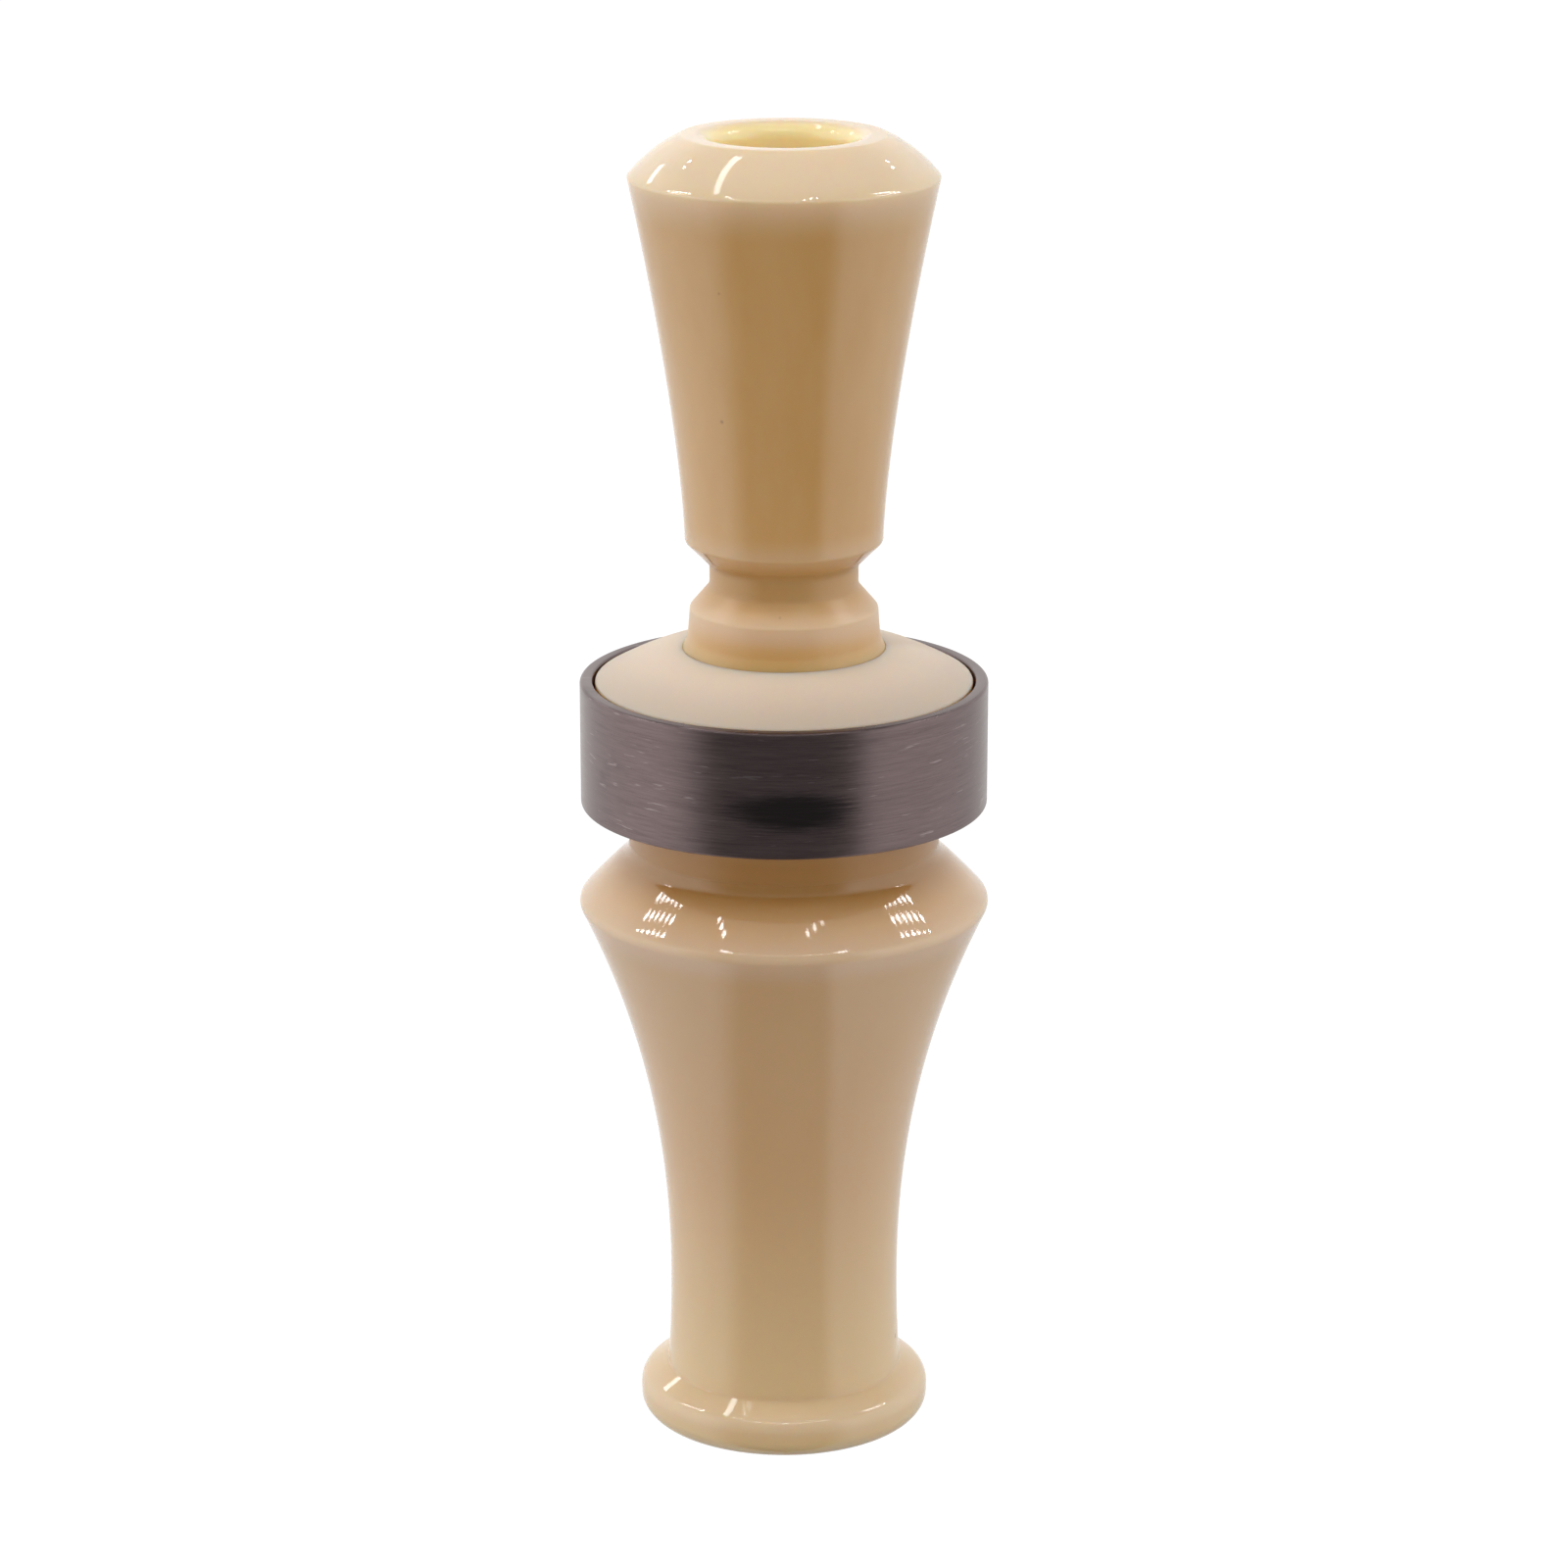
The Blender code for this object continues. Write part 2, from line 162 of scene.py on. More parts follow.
def turned(name, outline, segments=SEGMENTS, closed=True, waviness=0.0):
    """An outline turned about Z. It runs down the outer side; waviness pulls the surface in a little."""
    bm = bmesh.new()
    rings = []
    for r, z in outline:
        if r < 1e-7:
            rings.append([bm.verts.new((0, 0, z))])
            continue
        ring = []
        for k in range(segments):
            angle = 2 * math.pi * k / segments
            place = Vector((math.cos(angle), math.sin(angle), z * 60))
            pull = waviness * (0.5 + 0.5 * noise.noise(place * 1.3))
            ring.append(bm.verts.new(((r - pull) * math.cos(angle), (r - pull) * math.sin(angle), z)))
        rings.append(ring)
    pairs = list(zip(rings, rings[1:]))
    if closed:
        pairs.append((rings[-1], rings[0]))
    for upper, lower in pairs:
        for k in range(segments):
            j = (k + 1) % segments
            if len(upper) == 1 and len(lower) == 1:
                break
            if len(upper) == 1:
                bm.faces.new((upper[0], lower[k], lower[j]))
            elif len(lower) == 1:
                bm.faces.new((upper[k], lower[0], upper[j]))
            else:
                bm.faces.new((upper[k], lower[k], lower[j], upper[j]))
    mesh = bpy.data.meshes.new(name)
    bm.to_mesh(mesh)
    bm.free()
    smooth(mesh)
    return mesh


def loose(name, mesh):
    """An object that only serves as a modelling step."""
    obj = bpy.data.objects.new(name, mesh)
    scene.collection.objects.link(obj)
    return obj


def rod_mesh(name, radius, y, z_low, z_high, segments=96):
    """An upright rod on the call's middle plane."""
    mesh = bpy.data.meshes.new(name)
    bm = bmesh.new()
    bmesh.ops.create_cone(
        bm, cap_ends=True, segments=segments, radius1=radius, radius2=radius, depth=z_high - z_low
    )
    bmesh.ops.translate(bm, verts=bm.verts, vec=(0, y, (z_low + z_high) / 2))
    bm.to_mesh(mesh)
    bm.free()
    return mesh


def box_mesh(name, low, high):
    mesh = bpy.data.meshes.new(name)
    bm = bmesh.new()
    bmesh.ops.create_cube(bm, size=1)
    for vert in bm.verts:
        for axis in range(3):
            middle = (low[axis] + high[axis]) / 2
            vert.co[axis] = middle + vert.co[axis] * (high[axis] - low[axis])
    bm.to_mesh(mesh)
    bm.free()
    return mesh


def slab(name, outline, half, along):
    """A prism of an outline in the plane across the given axis, half thick each way."""
    bm = bmesh.new()
    sides = []
    for offset in (-half, half):
        if along == "x":
            sides.append([bm.verts.new((offset, a, b)) for a, b in outline])
        else:
            sides.append([bm.verts.new((a, offset, b)) for a, b in outline])
    bm.faces.new(sides[0])
    bm.faces.new(reversed(sides[1]))
    count = len(outline)
    for k in range(count):
        j = (k + 1) % count
        bm.faces.new((sides[0][k], sides[1][k], sides[1][j], sides[0][j]))
    bmesh.ops.recalc_face_normals(bm, faces=bm.faces)
    mesh = bpy.data.meshes.new(name)
    bm.to_mesh(mesh)
    bm.free()
    return mesh


def combine(obj, operation, tool):
    boolean = obj.modifiers.new(operation.lower(), "BOOLEAN")
    boolean.operation = operation
    boolean.solver = "EXACT"
    boolean.object = tool


def baked(obj, tools):
    """The object's evaluated mesh, with the object and its tools removed."""
    depsgraph = bpy.context.evaluated_depsgraph_get()
    mesh = bpy.data.meshes.new_from_object(obj.evaluated_get(depsgraph))
    for spare in [obj, *tools]:
        bpy.data.objects.remove(spare, do_unlink=True)
    return mesh


# ---- shader helpers ----
def node(tree, kind, inputs=None, **settings):
    """Adds a node. Inputs are values or the sockets they link from."""
    made = tree.nodes.new("ShaderNode" + kind)
    for key, value in settings.items():
        setattr(made, key, value)
    for key, value in (inputs or {}).items():
        if isinstance(value, bpy.types.NodeSocket):
            tree.links.new(value, made.inputs[key])
        else:
            made.inputs[key].default_value = value
    return made


def calc(tree, operation, a, b=0.0):
    return node(tree, "Math", {0: a, 1: b}, operation=operation).outputs[0]


def ramp(tree, value, low, high, to_low=0.0, to_high=1.0):
    """A smooth step from one value to another as the input goes from low to high."""
    inputs = {"Value": value, "From Min": low, "From Max": high, "To Min": to_low, "To Max": to_high}
    return node(tree, "MapRange", inputs, interpolation_type="SMOOTHSTEP").outputs["Result"]


def blend_colours(tree, factor, a, b):
    made = node(tree, "Mix", data_type="RGBA")
    for key, value in {0: factor, 6: a, 7: b}.items():
        if isinstance(value, bpy.types.NodeSocket):
            tree.links.new(value, made.inputs[key])
        elif key == 0:
            made.inputs[key].default_value = value
        else:
            made.inputs[key].default_value = (*value, 1.0)
    return made.outputs[2]


def blend_values(tree, factor, a, b):
    return node(tree, "Mix", {0: factor, 2: a, 3: b}, data_type="FLOAT").outputs[0]


def stretched(tree, coords, scale, turn_deg=(0, 0, 0)):
    turn = tuple(math.radians(t) for t in turn_deg)
    inputs = {"Vector": coords, "Scale": scale, "Rotation": turn}
    return node(tree, "Mapping", inputs).outputs["Vector"]


def noise_value(tree, coords, scale, detail=2.0, rough=0.5):
    inputs = {"Vector": coords, "Scale": scale, "Detail": detail, "Roughness": rough}
    return node(tree, "TexNoise", inputs).outputs["Fac"]


def noise_along(tree, value, scale, detail):
    """Noise that changes with one value only, as a turning tool's marks do."""
    inputs = {"W": calc(tree, "MULTIPLY", value, scale), "Detail": detail}
    return node(tree, "TexNoise", inputs, noise_dimensions="1D").outputs["Fac"]


def bumped(tree, height, distance, strength, normal=None):
    inputs = {"Height": height, "Distance": distance, "Strength": strength}
    if normal:
        inputs["Normal"] = normal
    return node(tree, "Bump", inputs).outputs["Normal"]


def new_material(name, colour, metallic=0.0):
    """A material with one Principled shader; returns it with its tree, shader and object coordinates."""
    mat = bpy.data.materials.new(name)
    mat.use_nodes = True
    mat.diffuse_color = (*colour, 1.0)
    tree = mat.node_tree
    shader = tree.nodes["Principled BSDF"]
    shader.inputs["Metallic"].default_value = metallic
    coords = node(tree, "TexCoord").outputs["Object"]
    return mat, tree, shader, coords


def wire(tree, shader, **sockets):
    for key, value in sockets.items():
        name = key.replace("_", " ").title()
        if isinstance(value, bpy.types.NodeSocket):
            tree.links.new(value, shader.inputs[name])
        else:
            shader.inputs[name].default_value = value


def places(tree, coords):
    """The radius from the call's axis and the height, in metres."""
    parts = node(tree, "SeparateXYZ", {0: coords})
    flat = node(tree, "CombineXYZ", {0: parts.outputs[0], 1: parts.outputs[1]}).outputs[0]
    radius = node(tree, "VectorMath", {0: flat}, operation="LENGTH").outputs["Value"]
    return radius, parts.outputs[2]


# ---- materials ----
IVORY = (0.640, 0.370, 0.125)
IVORY_PALE = (0.680, 0.425, 0.180)
IVORY_ROSE = (0.735, 0.500, 0.295)
# painted light: the barrel painted paler toward its foot, where more light reaches it
IVORY_FOOT_PAINTED_LIGHT = (0.800, 0.590, 0.325)
# painted light: the exhaust bore's inner wall, painted lighter as if lit from above
IVORY_BORE_PAINTED_LIGHT = (0.980, 0.800, 0.450)
IVORY_SANDED = (0.720, 0.580, 0.450)
IVORY_DUSTY = (0.800, 0.675, 0.560)
# painted shade: darker ivory toward the sanded disc's rim, where it curves away from the light
IVORY_RIM_PAINTED_SHADE = (0.520, 0.420, 0.330)
# painted light: the stopper painted paler toward its lip, where light falls on and enters the top
IVORY_LIP_PAINTED_LIGHT = (0.790, 0.630, 0.430)
# painted highlight: a paler band along the turned edges
IVORY_EDGE_PAINTED_HIGHLIGHT = (0.740, 0.590, 0.450)
# painted shade: deeper amber in the groove under the band and in the stopper's neck
IVORY_AMBER_PAINTED_SHADE = (0.490, 0.250, 0.065)
SPECK_BROWN = (0.20, 0.11, 0.05)
METAL_GREY = (0.30, 0.27, 0.27)
METAL_DARK = (0.125, 0.092, 0.094)
METAL_LIGHT = (0.190, 0.146, 0.146)
METAL_SMUDGED = (0.060, 0.047, 0.049)
METAL_SCRATCHED = (0.34, 0.29, 0.29)
# painted reflection: the dark patch on the band's front
METAL_PAINTED_REFLECTION = (0.030, 0.027, 0.029)
BOARD_WHITE = (0.60, 0.63, 0.62)
REED_MILKY = (0.74, 0.76, 0.74)
REED_DULL = (0.70, 0.73, 0.71)
REED_CLEAR = (0.80, 0.82, 0.79)
CORK_TAN = (0.42, 0.26, 0.14)
CORK_DARK = (0.30, 0.165, 0.080)
CORK_LIGHT = (0.56, 0.375, 0.215)
CORK_BINDER = (0.13, 0.075, 0.04)
RUBBER_BLACK = (0.02, 0.02, 0.02)
RUBBER_DEEP = (0.012, 0.012, 0.013)
RUBBER_GREASED = (0.032, 0.031, 0.030)

ACRYLIC_IOR = 1.49
SATIN_ROUGHNESS = 0.30  # added where the acrylic is less polished
MARK_X = 0.6 * MM  # the dark patch painted on the band's front as a reflection
MARK_Z = BAND_BOTTOM + 4.4 * MM
MARK_WIDTH = 5.4 * MM
MARK_HEIGHT = 1.8 * MM


def between(tree, value, low, high, fade):
    """One inside a range, zero outside it, with soft ends."""
    up = ramp(tree, value, low, low + fade)
    down = ramp(tree, value, high - fade, high, 1.0, 0.0)
    return calc(tree, "MULTIPLY", up, down)


def ivory(
    name, rose=0.0, sanded=None, amber_shade=None, satin=None, lit_top=None, lit_foot=None, lit_bore=None, edges=()
):
    """Polished cast acrylic, ivory with a share of rose.

    sanded, lit_top and lit_foot are the heights between which each fades in, lit_foot downward from the
    higher one; lit_top and lit_foot are painted light, the top and the foot painted paler where more light
    falls.
    amber_shade is (low, high, fade, share) and satin (low, high, fade): a stretch painted deeper amber as
    shade in a hollow, and a less polished stretch.
    lit_bore is the radius and the lowest height of a bore whose inner wall is painted lighter, as painted
    light falling in from above.
    Each of the edges is (height, reach, share): a paler band painted along a turned edge as a painted
    highlight.
    """
    mat, tree, shader, coords = new_material(name, IVORY)
    radius, height = places(tree, coords)
    cloud = noise_value(tree, stretched(tree, coords, (1, 1, 0.3)), 70, 4, 0.55)
    colour = blend_colours(tree, ramp(tree, cloud, 0.35, 0.68), IVORY, IVORY_PALE)
    if rose:
        colour = blend_colours(tree, rose, colour, IVORY_ROSE)
    # painted light: the lower part painted paler toward the foot
    if lit_foot:
        low, high = lit_foot
        colour = blend_colours(tree, ramp(tree, height, low, high, 1.0, 0.0), colour, IVORY_FOOT_PAINTED_LIGHT)
    # painted highlight: a paler band along each turned edge
    for middle, reach, share in edges:
        away = calc(tree, "ABSOLUTE", calc(tree, "SUBTRACT", height, middle))
        near = ramp(tree, away, 0.0, reach, share, 0.0)
        colour = blend_colours(tree, near, colour, IVORY_EDGE_PAINTED_HIGHLIGHT)
    # painted shade: deeper amber in the hollows
    if amber_shade:
        low, high, fade, share = amber_shade
        within = calc(tree, "MULTIPLY", between(tree, height, low, high, fade), share)
        colour = blend_colours(tree, within, colour, IVORY_AMBER_PAINTED_SHADE)
    # painted light: the upper part painted paler toward the top
    if lit_top:
        low, high = lit_top
        colour = blend_colours(tree, ramp(tree, height, low, high), colour, IVORY_LIP_PAINTED_LIGHT)
    # painted light: the bore's inner wall painted lighter, as if lit from above
    if lit_bore:
        bore, low = lit_bore
        inside = ramp(tree, radius, bore + 0.3 * MM, bore + 1.2 * MM, 1.0, 0.0)
        inside = calc(tree, "MULTIPLY", inside, ramp(tree, height, low, low + 12 * MM))
        colour = blend_colours(tree, inside, colour, IVORY_BORE_PAINTED_LIGHT)
    smudge = noise_value(tree, coords, 130, 3, 0.6)
    roughness = ramp(tree, smudge, 0.4, 0.75, 0.035, 0.085)
    if satin:
        dull = calc(tree, "MULTIPLY", between(tree, height, *satin), SATIN_ROUGHNESS)
        roughness = calc(tree, "ADD", roughness, dull)
    spots = node(tree, "TexVoronoi", {"Vector": coords, "Scale": 190.0})
    speck = ramp(tree, spots.outputs["Distance"], 0.035, 0.06, 1.0, 0.0)
    rare = ramp(tree, node(tree, "SeparateColor", {0: spots.outputs["Color"]}).outputs[0], 0.90, 0.91)
    speck = calc(tree, "MULTIPLY", calc(tree, "MULTIPLY", speck, rare), 0.5)
    colour = blend_colours(tree, speck, colour, SPECK_BROWN)
    turning = noise_along(tree, height, 3200, 2.0)
    peel = noise_value(tree, coords, 420, 2)
    normal = bumped(tree, turning, 0.000004, 0.10)
    normal = bumped(tree, peel, 0.00002, 0.10, normal)
    if sanded:
        low, high = sanded
        mask = ramp(tree, height, low, high)
        rings = noise_along(tree, radius, 7000, 3.0)
        grit = noise_value(tree, coords, 5200, 2)
        marks = blend_values(tree, 0.45, rings, grit)
        sand_colour = blend_colours(tree, marks, IVORY_SANDED, IVORY_DUSTY)
        # painted shade: darker toward the disc's rim, where it curves away from the light
        rim_shade = ramp(tree, radius, 11.5 * MM, 17 * MM, 0.0, 0.5)
        sand_colour = blend_colours(tree, rim_shade, sand_colour, IVORY_RIM_PAINTED_SHADE)
        colour = blend_colours(tree, mask, colour, sand_colour)
        roughness = blend_values(tree, mask, roughness, ramp(tree, marks, 0.3, 0.7, 0.46, 0.62))
        height_map = calc(tree, "MULTIPLY", marks, mask)
        normal = bumped(tree, height_map, 0.00003, 0.35, normal)
    wire(tree, shader, base_color=colour, roughness=roughness, normal=normal)
    shader.inputs["IOR"].default_value = ACRYLIC_IOR
    shader.inputs["Specular IOR Level"].default_value = 0.75
    shader.inputs["Subsurface Weight"].default_value = 0.75
    shader.inputs["Subsurface Radius"].default_value = (1.0, 0.62, 0.30)
    shader.inputs["Subsurface Scale"].default_value = 0.0035
    return mat


def brushed_metal(name):
    """Metal brushed round the band, with slanting scratches, handling smudges and one dark patch on the
    front that is a painted reflection.
    """
    mat, tree, shader, coords = new_material(name, METAL_GREY, metallic=1.0)
    x, y, height = node(tree, "SeparateXYZ", {0: coords}).outputs
    fine = noise_value(tree, stretched(tree, coords, (0.030, 0.030, 1.0)), 9000, 4, 0.75)
    broad = noise_value(tree, stretched(tree, coords, (0.06, 0.06, 1.0)), 2200, 3, 0.6)
    streaks = blend_values(tree, 0.3, fine, broad)
    slant = noise_value(tree, stretched(tree, coords, (0.10, 0.10, 1.0), (12, 8, 0)), 3000, 2)
    scratch = ramp(tree, slant, 0.66, 0.74)
    patch = noise_value(tree, stretched(tree, coords, (1, 1, 1.6)), 130, 3, 0.55)
    smudge = ramp(tree, patch, 0.60, 0.85)
    # painted reflection: a ragged dark patch on the band's front
    across = calc(tree, "DIVIDE", calc(tree, "SUBTRACT", x, MARK_X), MARK_WIDTH)
    upward = calc(tree, "DIVIDE", calc(tree, "SUBTRACT", height, MARK_Z), MARK_HEIGHT)
    across_squared = calc(tree, "MULTIPLY", across, across)
    reach = calc(tree, "ADD", across_squared, calc(tree, "MULTIPLY", upward, upward))
    ragged = calc(tree, "ADD", reach, calc(tree, "MULTIPLY", calc(tree, "SUBTRACT", streaks, 0.5), 2.2))
    mark = ramp(tree, ragged, 0.15, 1.5, 1.0, 0.0)
    in_front = calc(tree, "LESS_THAN", y, 0.0)
    mark = calc(tree, "MULTIPLY", mark, in_front)
    colour = blend_colours(tree, ramp(tree, streaks, 0.3, 0.7), METAL_DARK, METAL_LIGHT)
    colour = blend_colours(tree, calc(tree, "MULTIPLY", smudge, 0.55), colour, METAL_SMUDGED)
    colour = blend_colours(tree, calc(tree, "MULTIPLY", scratch, 0.5), colour, METAL_SCRATCHED)
    colour = blend_colours(tree, calc(tree, "MULTIPLY", mark, 0.85), colour, METAL_PAINTED_REFLECTION)
    roughness = ramp(tree, streaks, 0.3, 0.7, 0.26, 0.40)
    roughness = calc(tree, "ADD", roughness, calc(tree, "MULTIPLY", smudge, 0.05))
    groove = calc(tree, "SUBTRACT", streaks, calc(tree, "MULTIPLY", scratch, 0.4))
    normal = bumped(tree, groove, 0.00002, 0.30)
    tangent = node(tree, "Tangent", direction_type="RADIAL", axis="Z").outputs[0]
    wire(tree, shader, base_color=colour, roughness=roughness, normal=normal, tangent=tangent)
    shader.inputs["Anisotropic"].default_value = 0.75
    shader.inputs["Anisotropic Rotation"].default_value = 0.25
    return mat


def frosted_plastic(name, colour, scale, roughness_low, roughness_high):
    """Satin translucent plastic with faint flow marks."""
    mat, tree, shader, coords = new_material(name, colour)
    flow = noise_value(tree, stretched(tree, coords, (1, 1, 0.2)), 160, 3)
    grain = noise_value(tree, coords, scale, 3, 0.6)
    darker = tuple(c * 0.9 for c in colour)
    tint = blend_colours(tree, ramp(tree, flow, 0.35, 0.65), colour, darker)
    roughness = ramp(tree, grain, 0.3, 0.7, roughness_low, roughness_high)
    normal = bumped(tree, grain, 0.00002, 0.25)
    wire(tree, shader, base_color=tint, roughness=roughness, normal=normal)
    shader.inputs["IOR"].default_value = 1.58
    shader.inputs["Subsurface Weight"].default_value = 0.5
    shader.inputs["Subsurface Radius"].default_value = (1.0, 1.0, 1.0)
    shader.inputs["Subsurface Scale"].default_value = 0.003
    return mat


def reed_film(name):
    """Milky polyester film, brushed along its length."""
    mat, tree, shader, coords = new_material(name, REED_MILKY)
    lines = noise_value(tree, stretched(tree, coords, (1.0, 1.0, 0.02)), 5200, 3)
    haze = noise_value(tree, coords, 240, 2)
    colour = blend_colours(tree, ramp(tree, haze, 0.3, 0.7), REED_DULL, REED_CLEAR)
    roughness = ramp(tree, lines, 0.3, 0.7, 0.16, 0.34)
    normal = bumped(tree, lines, 0.00001, 0.25)
    wire(tree, shader, base_color=colour, roughness=roughness, normal=normal)
    shader.inputs["IOR"].default_value = 1.64
    shader.inputs["Transmission Weight"].default_value = 0.35
    return mat


def cork_material(name):
    """Rubberised cork: tan granules between darker binder."""
    mat, tree, shader, coords = new_material(name, CORK_TAN)
    cells = node(tree, "TexVoronoi", {"Vector": coords, "Scale": 1500.0}, feature="F1")
    edge = node(tree, "TexVoronoi", {"Vector": coords, "Scale": 1500.0}, feature="DISTANCE_TO_EDGE")
    shade = node(tree, "SeparateColor", {0: cells.outputs["Color"]}).outputs[0]
    colour = blend_colours(tree, shade, CORK_DARK, CORK_LIGHT)
    binder = ramp(tree, edge.outputs["Distance"], 0.02, 0.12, 1.0, 0.0)
    colour = blend_colours(tree, binder, colour, CORK_BINDER)
    normal = bumped(tree, edge.outputs["Distance"], 0.00012, 0.6)
    roughness = ramp(tree, shade, 0.0, 1.0, 0.78, 0.92)
    wire(tree, shader, base_color=colour, roughness=roughness, normal=normal)
    return mat


def rubber_material(name):
    """Satin black rubber with a trace of grease."""
    mat, tree, shader, coords = new_material(name, RUBBER_BLACK)
    patch = noise_value(tree, coords, 500, 3, 0.6)
    colour = blend_colours(tree, patch, RUBBER_DEEP, RUBBER_GREASED)
    roughness = ramp(tree, patch, 0.35, 0.7, 0.34, 0.58)
    normal = bumped(tree, noise_value(tree, coords, 4000, 2), 0.00001, 0.2)
    wire(tree, shader, base_color=colour, roughness=roughness, normal=normal)
    return mat


# ---- the turned pieces ----
def make_barrel():
    tenon_radius = BAND_RADIUS - BAND_WALL - BAND_GAP
    recess_radius = FLARED_RADIUS + 0.02 * MM
    seat_z = BARREL_TOP - 0.5 * MM
    flange_z = BAND_BOTTOM + 0.1 * MM
    groove_foot = (GROOVE_RADIUS, 55.45 * MM)
    dome_edge_z = BAND_TOP - 0.05 * MM
    edge = (EDGE_RADIUS, EDGE_Z)
    waist = (WAIST_RADIUS, WAIST_Z)
    crease = (10.95 * MM, 4.85 * MM)
    lip_slope_z = 3.5 * MM
    corners = [(BORE_RADIUS, seat_z, 0.15 * MM), (recess_radius, seat_z, 0.05 * MM)]
    corners += [(recess_radius, BARREL_TOP, 0.03 * MM)]
    corners += bend((recess_radius, BARREL_TOP), (tenon_radius, dome_edge_z), 1, 1.5, 28)
    corners += [(tenon_radius, dome_edge_z, 0.35 * MM)]
    corners += [(tenon_radius, flange_z, 0), (GROOVE_RADIUS, flange_z, 0.7 * MM)]
    shoulder = crowned(groove_foot, edge, 0.10 * MM, 24)
    corners += [(*groove_foot, 2.2 * MM), *shoulder[3:-3]]
    corners += [(*edge, 0.9 * MM), *reversed(bend(waist, edge, 2.2, 1, 56)), (*waist, 0)]
    corners += bend(waist, crease, 2, 1, 10)
    corners += [(*crease, 0.4 * MM), (FOOT_RADIUS, lip_slope_z, 1.7 * MM)]
    corners += [(FOOT_RADIUS, 0, 1.7 * MM), (BORE_RADIUS, 0, 1.2 * MM)]
    corners += [(BORE_RADIUS, BARREL_TOP * k / 6, 0) for k in range(1, 6)]
    mesh = turned("barrel_fine", rounded(corners), waviness=WAVINESS)
    mat = ivory(
        "ivory_barrel",
        rose=0.65,
        sanded=(71.15 * MM, 71.45 * MM),
        # painted shade: deeper amber below the band
        amber_shade=(52.4 * MM, 61.0 * MM, 3.4 * MM, 1.0),
        satin=(55.6 * MM, 61.0 * MM, 0.8 * MM),
        # painted light: paler toward the foot
        lit_foot=(4 * MM, 30 * MM),
        # painted highlights along the shoulder edge and the foot lip
        edges=[(EDGE_Z - 0.3 * MM, 3.0 * MM, 0.55), (3.4 * MM, 1.8 * MM, 0.5)],
    )
    return new_object("barrel_fine", mesh, "barrel", mat, ["barrel"])


def make_band():
    inner = BAND_RADIUS - BAND_WALL
    corners = [(inner, (BAND_TOP + BAND_BOTTOM) / 2, 0), (inner, BAND_TOP, 0.2 * MM)]
    corners += [(BAND_RADIUS, BAND_TOP, 0.3 * MM)]
    steps = 24
    for k in range(1, steps):
        z = BAND_TOP + (BAND_BOTTOM - BAND_TOP) * k / steps
        corners.append((BAND_RADIUS, z, 0))
    corners += [(BAND_RADIUS, BAND_BOTTOM, 0.3 * MM), (inner, BAND_BOTTOM, 0.2 * MM)]
    mesh = turned("band_fine", rounded(corners, steps=6), segments=256, waviness=0.010 * MM)
    return new_object("band_fine", mesh, "barrel", brushed_metal("brushed_band"), ["band"])


def make_stopper():
    bell_edge = (BELL_RADIUS + 0.05 * MM, CALL_TOP - 3.7 * MM)
    bell_foot = (8.98 * MM, 84.5 * MM)
    collar_edge_z = 78.25 * MM
    socket_top = SHANK_TOP + SPIGOT_LENGTH + GAP
    socket_radius = SPIGOT_RADIUS + SLIP
    lip = (9.2 * MM, CALL_TOP)
    corners = [(EXHAUST_RADIUS, CALL_TOP, 1.5 * MM), (*lip, 0.8 * MM)]
    corners += [*crowned(lip, bell_edge, 0.35 * MM, 24)[3:-1], (*bell_edge, 0.35 * MM)]
    corners += reversed(bend(bell_foot, bell_edge, 1.42, 1, 48))
    corners += [(*bell_foot, 0.5 * MM), (NECK_RADIUS, 82.3 * MM, 0.9 * MM)]
    corners += [(NECK_RADIUS, 80.35 * MM, 1.0 * MM), (COLLAR_RADIUS, collar_edge_z, 0.5 * MM)]
    corners += [(COLLAR_RADIUS + 0.2 * MM, FOOT_Z + 1.3 * MM, 1.2 * MM)]
    corners += [(FLARED_RADIUS, BARREL_TOP - 0.04 * MM, 0)]
    corners += [(FLARED_RADIUS, FOOT_Z, 0), (socket_radius, FOOT_Z, 0.2 * MM)]
    corners += [(socket_radius, socket_top, 0), (THROAT_RADIUS, socket_top, 0)]
    corners += [(THROAT_RADIUS, socket_top + 4 * MM, 0)]
    corners += [(EXHAUST_RADIUS, CALL_TOP - 6 * MM, 0)]
    mesh = turned("stopper_fine", rounded(corners), waviness=WAVINESS)
    mat = ivory(
        "ivory_stopper",
        # painted light: paler toward the lip
        lit_top=(113.5 * MM, 119.0 * MM),
        # painted shade: deeper amber in the neck
        amber_shade=(79.4 * MM, 84.0 * MM, 1.2 * MM, 0.3),
        satin=(71.0 * MM, 83.8 * MM, 1.2 * MM),
        # painted light inside the exhaust bore
        lit_bore=(EXHAUST_RADIUS, 92 * MM),
        # painted highlights along the collar edge and the bell's foot
        edges=[(77.9 * MM, 2.2 * MM, 0.6), (84.6 * MM, 2.2 * MM, 0.3)],
    )
    return new_object("stopper_fine", mesh, "stopper", mat, ["stopper"])


def make_o_ring(name, node_name, mat):
    low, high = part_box(node_name)
    ring_z = (low[2] + high[2]) / 2
    half_width = (RING_SECTION - RING_SQUEEZE) / 2
    half_height = RING_SECTION / 2
    centre = high[0] - half_width
    points = 40
    outline = []
    for k in range(points):
        angle = math.pi / 2 - 2 * math.pi * k / points
        on_seam = abs(math.sin(angle)) < 0.12
        share = 0.98 if on_seam else 1.0  # a slight step where the mould's halves met
        r = centre + half_width * math.cos(angle) * share
        outline.append((r, ring_z + half_height * math.sin(angle)))
    mesh = turned(name, outline, segments=144)
    return new_object(name, mesh, "seals", mat, [node_name])


